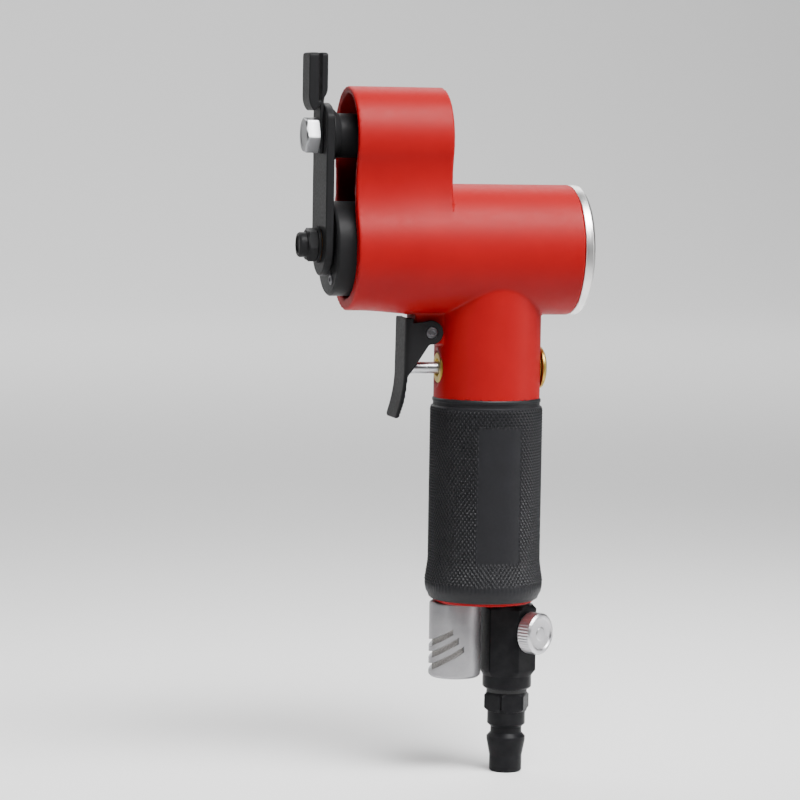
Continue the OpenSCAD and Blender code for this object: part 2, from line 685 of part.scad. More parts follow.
// ---- Handle ----
module grip_sleeve() {
    color([0.14, 0.14, 0.15]) translate([grip_x, 0, grip_z]) rotate_extrude() polygon([
        [core_r, 0], [flange_r - 0.6, 0], [flange_r + 0.2, 0.5], [flare_r - 0.25, 1.9], [flare_r, 3.2],
        [flare_r - 0.1, 4.4], [grip_r + 0.35, 8.4], [grip_r, 12], [grip_r, grip_len - 2.6],
        [grip_r - 0.5, grip_len - 2.2], [grip_r - 0.5, grip_len - 0.4], [grip_r - 0.9, grip_len],
        [core_r, grip_len]]);
}
slots = 3;
module muffler() {
    bottom = handle_bottom - muffler_len;
    round_r = 1.4;
    color([0.66, 0.66, 0.68]) difference() {
        union() {
            z_cyl(bottom + round_r, handle_bottom, muffler_r, -muffler_x);
            z_cyl(bottom, bottom + round_r, muffler_r - round_r, -muffler_x, r2 = muffler_r);
            z_cyl(handle_bottom, handle_bottom + muffler_port_len, muffler_port_r, -muffler_x);
        }
        z_cyl(bottom + 1.5, handle_bottom - 1.5, muffler_r - muffler_wall, -muffler_x);
        z_cyl(handle_bottom - 3, handle_bottom + muffler_port_len + 1, muffler_port_r - 1.3, -muffler_x);
        // slanted exhaust slots on the front left of the tube
        for (i = [0 : slots - 1]) translate([grip_x - muffler_x, 0, bottom + 7.2 + 3.4 * i])
            rotate([0, 0, 215]) rotate([30, 0, 0]) translate([muffler_r / 2 + 2, 0, 0])
                cube([muffler_r, 13, 1.3], center = true);
    }
}
module muffler_felt() {
    bottom = handle_bottom - muffler_len;
    color([0.75, 0.72, 0.65]) difference() {
        z_cyl(bottom + 1.5, handle_bottom - 1.5, muffler_r - muffler_wall, -muffler_x);
        z_cyl(bottom + 1, handle_bottom - 1, muffler_port_r - 1.3, -muffler_x);
    }
}
module inlet_body() {
    color([0.13, 0.13, 0.14]) difference() {
        union() {
            translate([0, 0, inlet_bottom]) cylinder(h = collar_h, r = inlet_af / 2 - 0.15);
            translate([0, 0, inlet_bottom + collar_h - 1]) cylinder(h = 2, r = inlet_af / 2 - 0.9);
            translate([0, 0, inlet_hex_z]) rotate(inlet_turn) chamfered_hex(inlet_af, inlet_len, 1.3);
            translate([0, 0, inlet_top - 6]) cylinder(h = 6 + seal_t + inlet_port_len - 1, r = inlet_port_r);
        }
        translate([0, 0, inlet_bottom - 1]) cylinder(h = thread_len + 1, r = thread_r);
        translate([0, 0, inlet_bottom]) cylinder(h = 60, r = bore_r + 0.6);
        on_knob_face() cylinder(h = inlet_af, r = spindle_r + run_fit);
    }
}
// Places a shape drawn along +Z so that it points out of the inlet body's knob face
module on_knob_face() {
    translate([0, 0, knob_z]) rotate([90, 0, inlet_turn]) children();
}
module inlet_seal() {
    color([0.1, 0.1, 0.1]) translate([0, 0, inlet_top]) difference() {
        cylinder(h = seal_t, r = inlet_af / 2 - 1);
        translate([0, 0, -1]) cylinder(h = seal_t + 2, r = inlet_port_r);
    }
}
module inlet_screen() {
    color("silver") translate([0, 0, inlet_bottom + thread_len]) difference() {
        cylinder(h = 0.8, r = bore_r + 0.6);
        for (i = [0 : 5]) rotate(i * 60) translate([2.3, 0, -1]) cylinder(h = 3, r = 0.7);
        translate([0, 0, -1]) cylinder(h = 3, r = 0.7);
    }
}
module regulator_knob() {
    color([0.78, 0.78, 0.79]) on_knob_face() difference() {
        union() {
            translate([0, 0, inlet_af / 2 + gap]) cylinder(h = knob_t - 0.6, r = knob_r);
            translate([0, 0, inlet_af / 2 + gap + knob_t - 0.6])
                cylinder(h = 0.6, r1 = knob_r, r2 = knob_r - 0.6);
        }
        translate([0, 0, inlet_af / 2 + gap + knob_t - 0.5]) cylinder(h = 1, r = knob_r - 1.6);
        translate([0, 0, inlet_af / 2 + gap - 1]) cylinder(h = knob_t - 0.5, r = spindle_r);
    }
}
module regulator_spindle() {
    color([0.7, 0.7, 0.7]) on_knob_face() difference() {
        translate([0, 0, 1]) cylinder(h = inlet_af / 2 + gap + knob_t - 2.5, r = spindle_r);
        translate([0, 0, inlet_af / 2 - 2]) rotate_extrude()
            translate([spindle_r + 0.04 - spindle_ring_r, 0]) circle(spindle_ring_r + 0.05, $fn = 24);
    }
}
module spindle_o_ring() {
    color([0.1, 0.1, 0.1]) on_knob_face() translate([0, 0, inlet_af / 2 - 2])
        rotate_extrude() translate([spindle_r + 0.04 - spindle_ring_r, 0]) circle(spindle_ring_r, $fn = 24);
}
// Quick-connect plug, drawn as one turned profile with a hexagon at the top
module air_plug() {
    tip_len = 5;
    bulge_z = 10;
    groove_z = 12.2;
    collar_z = 15;
    groove_r = tip_r - 0.2;
    color([0.13, 0.13, 0.14]) difference() {
        union() {
            rotate_extrude() polygon([
                [0, 0], [tip_r, 0], [tip_r, tip_len], [bulge_r, bulge_z], [bulge_r, bulge_z + 1],
                [groove_r, groove_z], [groove_r, collar_z - 1], [bulge_r - 0.1, collar_z],
                [bulge_r - 0.1, plug_len], [0, plug_len]]);
            translate([0, 0, plug_len]) chamfered_hex(plug_af, plug_hex, 0.9);
            translate([0, 0, plug_top]) cylinder(h = seal_t + thread_len - 1, r = thread_r);
        }
        translate([0, 0, -1]) cylinder(h = plug_top + 40, r = bore_r);
    }
}
module plug_seal() {
    color([0.1, 0.1, 0.1]) translate([0, 0, plug_top]) difference() {
        cylinder(h = seal_t, r = plug_af / 2);
        translate([0, 0, -1]) cylinder(h = seal_t + 2, r = thread_r);
    }
}

housing();
end_cap();
cap_o_ring();
cylinder_liner();
front_end_plate();
rear_end_plate();
front_bearing_outer();
front_bearing_balls();
front_bearing_inner();
rear_bearing_outer();
rear_bearing_balls();
rear_bearing_inner();
idler_bearing_outer();
idler_bearing_balls();
idler_bearing_inner();
rotor();
rotor_vanes();
crank_disc();
disc_screw();
crank_stud();
crank_washer();
crank_nut();
idler();
link_plate();
link_bush();
link_pin();
fork();
clamp_bolt();
trigger();
trigger_pin();
valve_stem();
valve_poppet();
valve_bush();
bush_o_ring();
valve_seat();
valve_spring();
rear_plug();
grip_sleeve();
muffler();
muffler_felt();
inlet_body();
inlet_seal();
inlet_screen();
regulator_knob();
regulator_spindle();
spindle_o_ring();
air_plug();
plug_seal();
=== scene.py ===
"""Looks of the pneumatic air hammer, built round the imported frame.

Every visible piece is made in millimetres in the frame's own axes (X along the
barrel with the fork at -X, Z up the handle) and scaled to metres at the end.
Two makers do most of the work: turned() for round and hexagonal pieces, and moulded()
for shapes given by a distance function, whose edges come out softly rounded.
"""
import json
import math

import bmesh
import bpy
import numpy as np
from mathutils import Matrix, Vector


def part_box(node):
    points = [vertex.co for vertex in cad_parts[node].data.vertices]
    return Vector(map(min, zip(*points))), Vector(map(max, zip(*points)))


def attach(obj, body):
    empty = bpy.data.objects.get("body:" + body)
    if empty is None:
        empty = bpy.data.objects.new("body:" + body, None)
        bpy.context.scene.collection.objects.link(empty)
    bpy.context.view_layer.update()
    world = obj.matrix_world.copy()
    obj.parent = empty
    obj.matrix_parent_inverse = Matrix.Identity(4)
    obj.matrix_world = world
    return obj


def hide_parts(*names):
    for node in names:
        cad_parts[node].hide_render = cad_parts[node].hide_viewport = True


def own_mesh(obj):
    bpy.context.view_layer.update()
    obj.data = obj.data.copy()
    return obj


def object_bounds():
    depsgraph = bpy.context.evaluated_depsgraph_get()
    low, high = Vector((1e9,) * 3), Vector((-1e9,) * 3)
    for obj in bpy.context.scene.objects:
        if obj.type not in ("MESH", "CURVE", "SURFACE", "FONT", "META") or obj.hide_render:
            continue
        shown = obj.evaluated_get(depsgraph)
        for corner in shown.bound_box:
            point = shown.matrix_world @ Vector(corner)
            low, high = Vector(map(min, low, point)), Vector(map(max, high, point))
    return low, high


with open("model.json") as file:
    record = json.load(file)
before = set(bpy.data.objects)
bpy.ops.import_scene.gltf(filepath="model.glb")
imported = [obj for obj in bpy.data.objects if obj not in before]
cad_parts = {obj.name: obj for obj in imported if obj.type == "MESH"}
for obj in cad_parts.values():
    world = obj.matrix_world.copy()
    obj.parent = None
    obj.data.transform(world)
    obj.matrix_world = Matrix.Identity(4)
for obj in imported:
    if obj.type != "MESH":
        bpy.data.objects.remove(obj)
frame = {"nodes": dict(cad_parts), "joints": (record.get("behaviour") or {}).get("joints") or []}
CAD_BOX = [list(corner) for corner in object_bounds()]
MM = 0.001


# ---------------------------------------------------------------- the frame
def box_mm(node):
    """Lowest and highest corner of a CAD node, in millimetres."""
    low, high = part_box(node)
    return np.array(low) / MM, np.array(high) / MM


def centre(node):
    low, high = box_mm(node)
    return (low + high) / 2


def joint(name):
    return next(j for j in frame["joints"] if j["name"] == name)


CASE_LOW, CASE_HIGH = box_mm("housing")
CAP_LOW, CAP_HIGH = box_mm("end_cap")
GRIP_LOW, GRIP_HIGH = box_mm("grip_sleeve")
GRIP_X = centre("grip_sleeve")[0]
MOTOR_Z = centre("crank_disc")[2]
IDLER_Z = centre("idler")[2]
VALVE_Z = centre("rear_plug")[2]
AXIS_GAP = IDLER_Z - MOTOR_Z
BARREL_R = (CAP_HIGH[2] - CAP_LOW[2]) / 2
UPPER_R = CASE_HIGH[2] - IDLER_Z
FRONT_X = CASE_LOW[0]
REAR_X = CASE_HIGH[0]
PIVOT = np.array(joint("trigger_pivot")["pos_m"]) / MM
STUD = np.array(joint("link_pivot")["pos_m"]) / MM
PIN_Z = STUD[2] + AXIS_GAP
KNOB_POS = np.array(joint("regulator_turn")["pos_m"]) / MM
KNOB_AXIS = np.array(joint("regulator_turn")["axis"])
AXIS_X, AXIS_Y, AXIS_Z = np.eye(3)


# ------------------------------------------------------------ shape formulas
def smooth_min(a, b, k):
    """The smaller of two distances, blended over a width k."""
    h = np.clip(0.5 + 0.5 * (b - a) / k, 0, 1)
    return b * (1 - h) + a * h - k * h * (1 - h)


def smooth_max(a, b, k):
    return -smooth_min(-a, -b, k)


def smooth_step(low, high, v):
    t = np.clip((v - low) / (high - low), 0, 1)
    return t * t * (3 - 2 * t)


def span(v, low, high):
    """Distance outside the slab between low and high."""
    return np.maximum(low - v, v - high)


def round_x(p, r, y=0.0, z=0.0):
    """Distance from a cylinder along X."""
    return np.hypot(p[1] - y, p[2] - z) - r


def two_lobes(y, z, lower_r, upper_r, waist_r):
    """Distance from two circles, one AXIS_GAP above the other, joined by concave arcs."""
    y = np.abs(y)
    a, b = lower_r + waist_r, upper_r + waist_r
    wz = (a**2 - b**2 + AXIS_GAP**2) / (2 * AXIS_GAP)
    wy = np.sqrt(a**2 - wz**2)
    circles = np.minimum(np.hypot(y, z) - lower_r, np.hypot(y, z - AXIS_GAP) - upper_r)
    waist = waist_r - np.hypot(y - wy, z - wz)
    above_lower = wy * z - wz * y > 0
    below_upper = wy * (AXIS_GAP - z) - (AXIS_GAP - wz) * y > 0
    return np.where(above_lower & below_upper, waist, circles)


# ------------------------------------------------------------- piece makers
def finish_piece(obj, body, material, replaced=()):
    """Gives a piece its material, its body and the CAD nodes it stands for."""
    obj.data.materials.append(material)
    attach(obj, body)
    if replaced:
        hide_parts(*replaced)


def mesh_object(name, vertices, faces):
    mesh = bpy.data.meshes.new(name)
    mesh.from_pydata((np.asarray(vertices) * MM).tolist(), [], [list(f) for f in faces])
    mesh.update()
    obj = bpy.data.objects.new(name, mesh)
    bpy.context.scene.collection.objects.link(obj)
    return obj


def shade(obj, angle=32):
    """Smooth shading, with edges sharper than the angle kept crisp."""
    mesh = obj.data
    mesh.polygons.foreach_set("use_smooth", [True] * len(mesh.polygons))
    work = bmesh.new()
    work.from_mesh(mesh)
    limit = math.radians(angle)
    for edge in work.edges:
        if len(edge.link_faces) == 2 and edge.calc_face_angle(0) > limit:
            edge.smooth = False
    work.to_mesh(mesh)
    work.free()


def gradient(distance, points, step=0.02):
    """Outward direction and steepness of a distance function at each point."""
    out = np.empty_like(points)
    for k in range(3):
        shift = np.zeros((3, 1))
        shift[k] = step
        out[k] = (distance(points + shift) - distance(points - shift)) / (2 * step)
    return out


def net_surface(values, low, cell):
    """Surface-net vertices and quads where the values change sign."""
    inside = values < 0
    shape = np.array(values.shape) - 1
    total = np.zeros((3, *shape))
    count = np.zeros(shape)
    crossings = []
    for axis in range(3):
        near = [slice(None)] * 3
        far = [slice(None)] * 3
        near[axis], far[axis] = slice(None, -1), slice(1, None)
        a, b = values[tuple(near)], values[tuple(far)]
        crosses = inside[tuple(near)] != inside[tuple(far)]
        where = np.array(np.nonzero(crosses))
        share = a[crosses] / (a[crosses] - b[crosses])
        point = where.astype(float)
        point[axis] += share
        others = [k for k in range(3) if k != axis]
        ring = []
        for d0, d1 in ((-1, -1), (0, -1), (0, 0), (-1, 0)):
            cells = where.copy()
            cells[others[0]] += d0
            cells[others[1]] += d1
            ok = np.all((cells >= 0) & (cells < shape[:, None]), axis=0)
            index = tuple(cells[:, ok])
            for k in range(3):
                np.add.at(total[k], index, point[k][ok])
            np.add.at(count, index, 1)
            ring.append(cells)
        crossings.append((ring, inside[tuple(near)][crosses], axis))
    used = count > 0
    number = np.full(count.shape, -1)
    number[used] = np.arange(used.sum())
    vertices = total[:, used] / count[used] * cell + low[:, None]
    faces = []
    for ring, starts_inside, axis in crossings:
        quad = np.array([number[tuple(c)] for c in ring]).T
        turn = starts_inside if axis != 1 else ~starts_inside
        quad[~turn] = quad[~turn][:, ::-1]
        faces.append(quad)
    return vertices, np.concatenate(faces)


def drawn_onto(distance, points, times):
    """Points moved along the distance function's slope until they lie on its surface."""
    for _ in range(times):
        slope = gradient(distance, points)
        points = points - distance(points) * slope / np.maximum((slope**2).sum(0), 0.2)
    return points


def moulded(name, distance, low, high, cell, relax=2):
    """A piece from a distance function: every vertex is drawn onto its surface."""
    low = np.array(low, float) - 2 * cell
    counts = np.ceil((np.array(high, float) + 2 * cell - low) / cell).astype(int) + 1
    grid = [low[k] + cell * np.arange(counts[k]) for k in range(3)]
    values = np.empty(tuple(counts))
    for i, x in enumerate(grid[0]):
        y, z = np.meshgrid(grid[1], grid[2], indexing="ij")
        values[i] = distance(np.array([np.full(y.size, x), y.ravel(), z.ravel()])).reshape(y.shape)
    points, faces = net_surface(values, low, cell)
    pairs = np.concatenate([faces[:, [k, (k + 1) % 4]] for k in range(4)])
    for _ in range(relax + 1):
        points = drawn_onto(distance, points, 2)
        mean = np.zeros_like(points)
        ties = np.zeros(points.shape[1])
        for a, b in (pairs.T, pairs.T[::-1]):
            for k in range(3):
                np.add.at(mean[k], a, points[k][b])
            np.add.at(ties, a, 1)
        points = 0.5 * points + 0.5 * mean / ties
    points = drawn_onto(distance, points, 3)
    obj = mesh_object(name, points.T, faces)
    slope = gradient(distance, points, 0.05)
    normals = (slope / np.linalg.norm(slope, axis=0)).T
    obj.data.polygons.foreach_set("use_smooth", [True] * len(obj.data.polygons))
    obj.data.normals_split_custom_set_from_vertices(normals.tolist())
    return obj


def corner_arc(before, corner, after, radius, steps=4):
    """Points that round one corner of a profile."""
    a, c, b = (np.array(v, float) for v in (before, corner, after))
    u, v = a - c, b - c
    lu, lv = np.linalg.norm(u), np.linalg.norm(v)
    if radius <= 0 or lu < 1e-6 or lv < 1e-6:
        return [c]
    u, v = u / lu, v / lv
    half = math.acos(np.clip(u @ v, -1, 1)) / 2
    if half > math.radians(87):
        return [c]
    reach = min(radius / math.tan(half), 0.49 * lu, 0.49 * lv)
    radius = reach * math.tan(half)
    middle = c + (u + v) / np.linalg.norm(u + v) * radius / math.sin(half)
    start, end = c + u * reach - middle, c + v * reach - middle
    a0 = math.atan2(start[1], start[0])
    sweep = (math.atan2(end[1], end[0]) - a0 + math.pi) % (2 * math.pi) - math.pi
    return [middle + radius * np.array([math.cos(a0 + sweep * k / steps), math.sin(a0 + sweep * k / steps)])
            for k in range(steps + 1)]


def rounded(profile, radius):
    """A (radius, height) profile with its corners rounded; its two ends stay as they are."""
    out = [np.array(profile[0], float)]
    for before, corner, after in zip(profile, profile[1:], profile[2:]):
        out += corner_arc(before, corner, after, radius)
    return np.array(out + [np.array(profile[-1], float)])


def hexagon_limit(flats, turn=0.0):
    """Radius of a hexagon across the flats at each angle; a face looks along the turn."""
    sixth = math.pi / 3
    return lambda angle: flats / 2 / np.cos((angle - turn + sixth / 2) % sixth - sixth / 2)


def turned(name, profile, origin, axis=AXIS_Z, side=AXIS_X, segments=96, radius=0.25,
           limit=None, limit_from=None, relief=None):
    """A piece turned about an axis: (radius, height) points, corners rounded.

    limit cuts it to a hexagon between the heights in limit_from; relief(angle,
    height, radius) is added to the radius. Profiles that start and end on the
    axis close there, and others must come back to their first point.
    """
    outline = rounded(profile, radius)
    axis = np.array(axis, float)
    side = np.array(side, float)
    across = np.cross(axis, side)
    angle = np.arange(segments) * 2 * math.pi / segments
    rings = []
    for r, h in outline:
        reach = np.full(segments, r)
        if limit is not None and limit_from[0] - 1e-6 <= h <= limit_from[1] + 1e-6:
            reach = smooth_min(reach, limit(angle), 0.18)
        if relief is not None:
            reach = reach + relief(angle, h, r)
        rings.append(reach)
    rings = np.array(rings)
    around = np.cos(angle)[None, :, None] * side + np.sin(angle)[None, :, None] * across
    points = (np.array(origin)[None, None] + rings[:, :, None] * around
              + outline[:, 1][:, None, None] * axis)
    vertices = points.reshape(-1, 3)
    faces = []
    rows = len(outline)
    for i in range(rows - 1):
        for j in range(segments):
            k = (j + 1) % segments
            faces.append([i * segments + j, (i + 1) * segments + j, (i + 1) * segments + k, i * segments + k])
    obj = mesh_object(name, vertices, faces)
    work = bmesh.new()
    work.from_mesh(obj.data)
    bmesh.ops.remove_doubles(work, verts=work.verts, dist=1e-7)
    bmesh.ops.holes_fill(work, edges=[e for e in work.edges if e.is_boundary])
    bmesh.ops.recalc_face_normals(work, faces=work.faces)
    work.to_mesh(obj.data)
    work.free()
    shade(obj)
    return obj


def cut(obj, cutters):
    """Cuts the cutters out of a piece and removes them."""
    for tool in cutters:
        modifier = obj.modifiers.new("cut", "BOOLEAN")
        modifier.operation = "DIFFERENCE"
        modifier.solver = "EXACT"
        modifier.object = tool
    bpy.context.view_layer.update()
    done = bpy.data.meshes.new_from_object(obj.evaluated_get(bpy.context.evaluated_depsgraph_get()))
    obj.modifiers.clear()
    obj.data = done
    for tool in cutters:
        bpy.data.objects.remove(tool)
    shade(obj)
    return obj


# ---------------------------------------------------------------- materials
def linear(srgb):
    """Linear colour of an 8-bit sRGB colour."""
    return tuple(c / 12.92 if c <= 0.04045 else ((c + 0.055) / 1.055) ** 2.4 for c in (v / 255 for v in srgb))


class Surface:
    """A small builder for one procedural material."""

    def __init__(self, name, colour, metallic=0.0, roughness=0.4, **sockets):
        self.material = bpy.data.materials.new(name)
        self.material.use_nodes = True
        self.tree = self.material.node_tree
        self.shader = self.tree.nodes["Principled BSDF"]
        self.colour = (*linear(colour), 1.0)
        self.shader.inputs["Base Color"].default_value = self.colour
        self.shader.inputs["Metallic"].default_value = metallic
        self.shader.inputs["Roughness"].default_value = roughness
        for socket, value in sockets.items():
            self.shader.inputs[socket.replace("_", " ")].default_value = value
        self.place = self.add("ShaderNodeTexCoord").outputs["Object"]
        self.height = None

    def add(self, kind, **settings):
        node = self.tree.nodes.new(kind)
        for key, value in settings.items():
            setattr(node, key, value)
        return node

    def link(self, a, b):
        self.tree.links.new(a, b)

    def stretched(self, scale):
        mapping = self.add("ShaderNodeMapping")
        mapping.inputs["Scale"].default_value = scale
        self.link(self.place, mapping.inputs["Vector"])
        return mapping.outputs["Vector"]

    def noise(self, size_mm, detail=3.0, stretch=(1, 1, 1), rough=0.55):
        """Noise with grains of about the given size."""
        node = self.add("ShaderNodeTexNoise")
        node.inputs["Scale"].default_value = 1 / (size_mm * MM)
        node.inputs["Detail"].default_value = detail
        node.inputs["Roughness"].default_value = rough
        self.link(self.stretched(stretch), node.inputs["Vector"])
        return node.outputs["Fac"]

    def ramp(self, value, low, high, from_low=0.3, from_high=0.7):
        """Maps a value to the range between low and high."""
        node = self.add("ShaderNodeMapRange")
        node.inputs["From Min"].default_value = from_low
        node.inputs["From Max"].default_value = from_high
        node.inputs["To Min"].default_value = low
        node.inputs["To Max"].default_value = high
        self.link(value, node.inputs["Value"])
        return node.outputs["Result"]

    def vary_colour(self, value, other, share=1.0):
        """Mixes towards another colour where the value is high."""
        mix = self.add("ShaderNodeMix", data_type="RGBA")
        mix.inputs["B"].default_value = (*linear(other), 1.0)
        source = self.shader.inputs["Base Color"]
        if source.is_linked:
            self.link(source.links[0].from_socket, mix.inputs["A"])
        else:
            mix.inputs["A"].default_value = source.default_value
        self.link(self.ramp(value, 0.0, share), mix.inputs["Factor"])
        self.link(mix.outputs["Result"], source)

    def vary_roughness(self, value, low, high):
        self.link(self.ramp(value, low, high), self.shader.inputs["Roughness"])

    def bump(self, value, depth_mm, strength=1.0):
        node = self.add("ShaderNodeBump")
        node.inputs["Distance"].default_value = depth_mm * MM
        node.inputs["Strength"].default_value = strength
        self.link(value, node.inputs["Height"])
        if self.height is not None:
            self.link(self.height, node.inputs["Normal"])
        self.height = node.outputs["Normal"]
        self.link(self.height, self.shader.inputs["Normal"])


def red_paint():
    s = Surface("red_paint", (150, 3, 10), roughness=0.5, Specular_IOR_Level=0.16)
    s.vary_colour(s.noise(9), (138, 2, 8), 0.4)
    s.vary_roughness(s.noise(2.2), 0.47, 0.55)
    s.bump(s.noise(0.9, 2), 0.012, 0.5)
    return s.material


def black_oxide(name="black_oxide", colour=(33, 33, 34), rough=(0.36, 0.48)):
    s = Surface(name, colour, roughness=0.4, Specular_IOR_Level=0.06)
    s.vary_colour(s.noise(3.0), (36, 36, 37), 0.5)
    s.vary_roughness(s.noise(0.8), *rough)
    s.bump(s.noise(0.6, 2), 0.003, 0.4)
    return s.material


def turned_metal(name, colour, axis, roughness=(0.2, 0.34), grain=0.25, darker=None):
    """Bright metal with fine lathe lines round the given axis."""
    s = Surface(name, colour, metallic=1.0, roughness=0.3)
    lines = s.noise(grain, 2, tuple(1.0 if k == axis else 0.02 for k in range(3)))
    s.vary_colour(s.noise(5), darker or tuple(int(0.86 * c) for c in colour), 0.5)
    s.vary_roughness(lines, *roughness)
    s.bump(lines, 0.006, 0.4)
    return s.material


def cast_alloy():
    s = Surface("grey_alloy", (158, 157, 159), metallic=0.75, roughness=0.42)
    s.vary_colour(s.noise(4), (136, 135, 138), 0.5)
    s.vary_roughness(s.noise(0.6), 0.36, 0.5)
    s.bump(s.noise(0.3, 3), 0.02, 0.5)
    return s.material


def grip_rubber():
    s = Surface("grip_rubber", (20, 20, 24), roughness=0.55, Specular_IOR_Level=0.3)
    s.vary_colour(s.noise(6), (14, 14, 17), 0.6)
    s.vary_roughness(s.noise(1.0), 0.48, 0.62)
    s.bump(s.noise(0.25, 3), 0.02, 0.5)
    return s.material


def soft_rubber():
    s = Surface("black_rubber", (24, 24, 25), roughness=0.6)
    s.vary_roughness(s.noise(0.7), 0.5, 0.68)
    s.bump(s.noise(0.3), 0.01, 0.4)
    return s.material


def pressed_felt():
    s = Surface("pressed_felt", (158, 155, 152), roughness=0.95)
    s.vary_colour(s.noise(0.5, 4), (122, 119, 116), 0.8)
    s.bump(s.noise(0.25, 4), 0.12, 0.9)
    return s.material


def vane_cloth():
    s = Surface("vane_cloth", (104, 70, 38), roughness=0.6)
    s.vary_colour(s.noise(0.4, 2, (1, 6, 6)), (78, 50, 26), 0.7)
    s.bump(s.noise(0.3, 2, (1, 6, 6)), 0.02, 0.5)
    return s.material


RED = red_paint()
BLACK = black_oxide()
BLACK_FITTING = black_oxide("black_fitting", (20, 20, 22), (0.28, 0.4))
RING = turned_metal("polished_alloy", (244, 243, 242), 0, (0.3, 0.42))
BRIGHT = turned_metal("bright_steel", (200, 200, 203), 0, (0.26, 0.38), 0.4)
BOLT = turned_metal("bolt_steel", (152, 153, 155), 0, (0.3, 0.42), 0.4)
PIN = turned_metal("pin_steel", (104, 104, 107), 1, (0.4, 0.52), 0.4)
BRASS = turned_metal("turned_brass", (188, 162, 84), 0, (0.34, 0.46), 0.3, (150, 124, 58))
BRONZE = turned_metal("bearing_bronze", (168, 120, 72), 0, (0.3, 0.45))
KNOB = turned_metal("knob_metal", (206, 205, 208), 1, (0.28, 0.42), 0.35)
STEEL = turned_metal("motor_steel", (150, 150, 154), 0, (0.28, 0.42))
IDLER = turned_metal("idler_steel", (74, 74, 77), 0, (0.3, 0.42))
ALLOY = cast_alloy()
RUBBER = soft_rubber()
GRIP = grip_rubber()
FELT = pressed_felt()
VANE = vane_cloth()


# ------------------------------------------------------------------- casing
LOBE_LEN = 29.8
LOBE_STEP = 1.2
WAIST_R = 25.0
LOWER_WALL = 3.8
UPPER_WALL = 2.1
CAVITY_END = FRONT_X + 21.5
BORE_FRONT = CAVITY_END + 6.0
BORE_R = BARREL_R - 3.0
NECK_R = 16.4
CORE_R = 15.2
FLANGE_R = 15.6
CHAMBER_R = 4.7
TRIGGER_LOW, TRIGGER_HIGH = box_mm("trigger")
TRIGGER_HALF = (TRIGGER_HIGH[1] - TRIGGER_LOW[1]) / 2
TRIGGER_T = 1.2
GAP = 0.4
LUG_HALF = TRIGGER_HALF - TRIGGER_T - GAP
IDLER_BORE_R = 11.0
SHAFT_BORE_R = 8.0
PIVOT_BORE_R = 1.75


def casing_radius(x):
    """Radius of the lower lobe, which grows into the barrel."""
    return BARREL_R - LOBE_STEP * (1 - smooth_step(FRONT_X + 4, FRONT_X + 24, x))


def casing(p):
    x, y, z = p[0], p[1], p[2] - MOTOR_Z
    lobe_end = FRONT_X + LOBE_LEN
    lobes = smooth_max(two_lobes(y, z, casing_radius(x), UPPER_R, WAIST_R), span(x, FRONT_X, lobe_end), 0.7)
    barrel = smooth_max(np.hypot(y, z) - BARREL_R, span(x, lobe_end - 2.5, REAR_X), 0.5)
    head = np.minimum(lobes, barrel)
    up = p[2]
    stem_r = (CORE_R + (NECK_R - CORE_R) * smooth_step(GRIP_HIGH[2] - 0.6, GRIP_HIGH[2] - 0.2, up)
              + (FLANGE_R - CORE_R) * smooth_step(GRIP_LOW[2] + 0.2, GRIP_LOW[2] - 0.2, up))
    neck = smooth_max(np.hypot(x - GRIP_X, y) - stem_r, span(up, CASE_LOW[2], MOTOR_Z), 0.5)
    shape = smooth_min(head, neck, 0.5)
    front = PIVOT[0] - 4.8
    under = -(up - PIVOT[2]) - 3.4 - 0.04 * (x - PIVOT[0])
    slope = ((PIVOT[0] - 3.2 - x) * 4.4 + (PIVOT[2] + 1 - up) * 1.6) / 4.68 - 1.6
    lug = smooth_max(smooth_max(front - x, under, 0.6), np.abs(y) - LUG_HALF, 0.6)
    lug = smooth_max(lug, slope, 0.6)
    lug = smooth_max(lug, x - GRIP_X, 0.3)
    lug = smooth_max(lug, up - MOTOR_Z + BARREL_R - 3, 0.3)
    shape = smooth_min(shape, lug, 0.6)
    boss = np.maximum(span(x, FRONT_X + 17.5, GRIP_X), np.abs(y) - LUG_HALF)
    boss = smooth_max(boss, span(up, MOTOR_Z - BARREL_R + 0.3, MOTOR_Z - BARREL_R + 4), 0.4)
    shape = np.minimum(shape, boss)
    cavity = smooth_max(two_lobes(y, z, BARREL_R - LOBE_STEP - LOWER_WALL, UPPER_R - UPPER_WALL,
                                  WAIST_R + UPPER_WALL), x - CAVITY_END, 0.8)
    shape = smooth_max(shape, -cavity, 0.7)
    hollows = [
        np.maximum(round_x(p, IDLER_BORE_R, 0, IDLER_Z), span(x, CAVITY_END - 1, CAVITY_END + 7)),
        np.maximum(round_x(p, SHAFT_BORE_R, 0, MOTOR_Z), span(x, CAVITY_END - 1, BORE_FRONT + 1)),
        np.maximum(round_x(p, BORE_R, 0, MOTOR_Z), span(x, BORE_FRONT, REAR_X + 2)),
        round_x(p, CHAMBER_R, 0, VALVE_Z),
        np.maximum(round_x(p, CHAMBER_R + 1, 0, VALVE_Z), x - (GRIP_X - NECK_R + 0.4)),
        np.maximum(round_x(p, CHAMBER_R + 2, 0, VALVE_Z), GRIP_X + NECK_R - 0.3 - x),
        np.hypot(x - PIVOT[0], up - PIVOT[2]) - PIVOT_BORE_R,
    ]
    for hollow in hollows:
        shape = smooth_max(shape, -hollow, 0.3)
    return shape


def make_casing():
    obj = moulded("housing_casting", casing, CASE_LOW, CASE_HIGH, 0.8)
    finish_piece(obj, "root", RED, ["housing"])


# ------------------------------------------------------------------ end cap
HOLE_R = 1.6
HOLE_DEPTH = 2.2
HOLE_OUT = 0.6


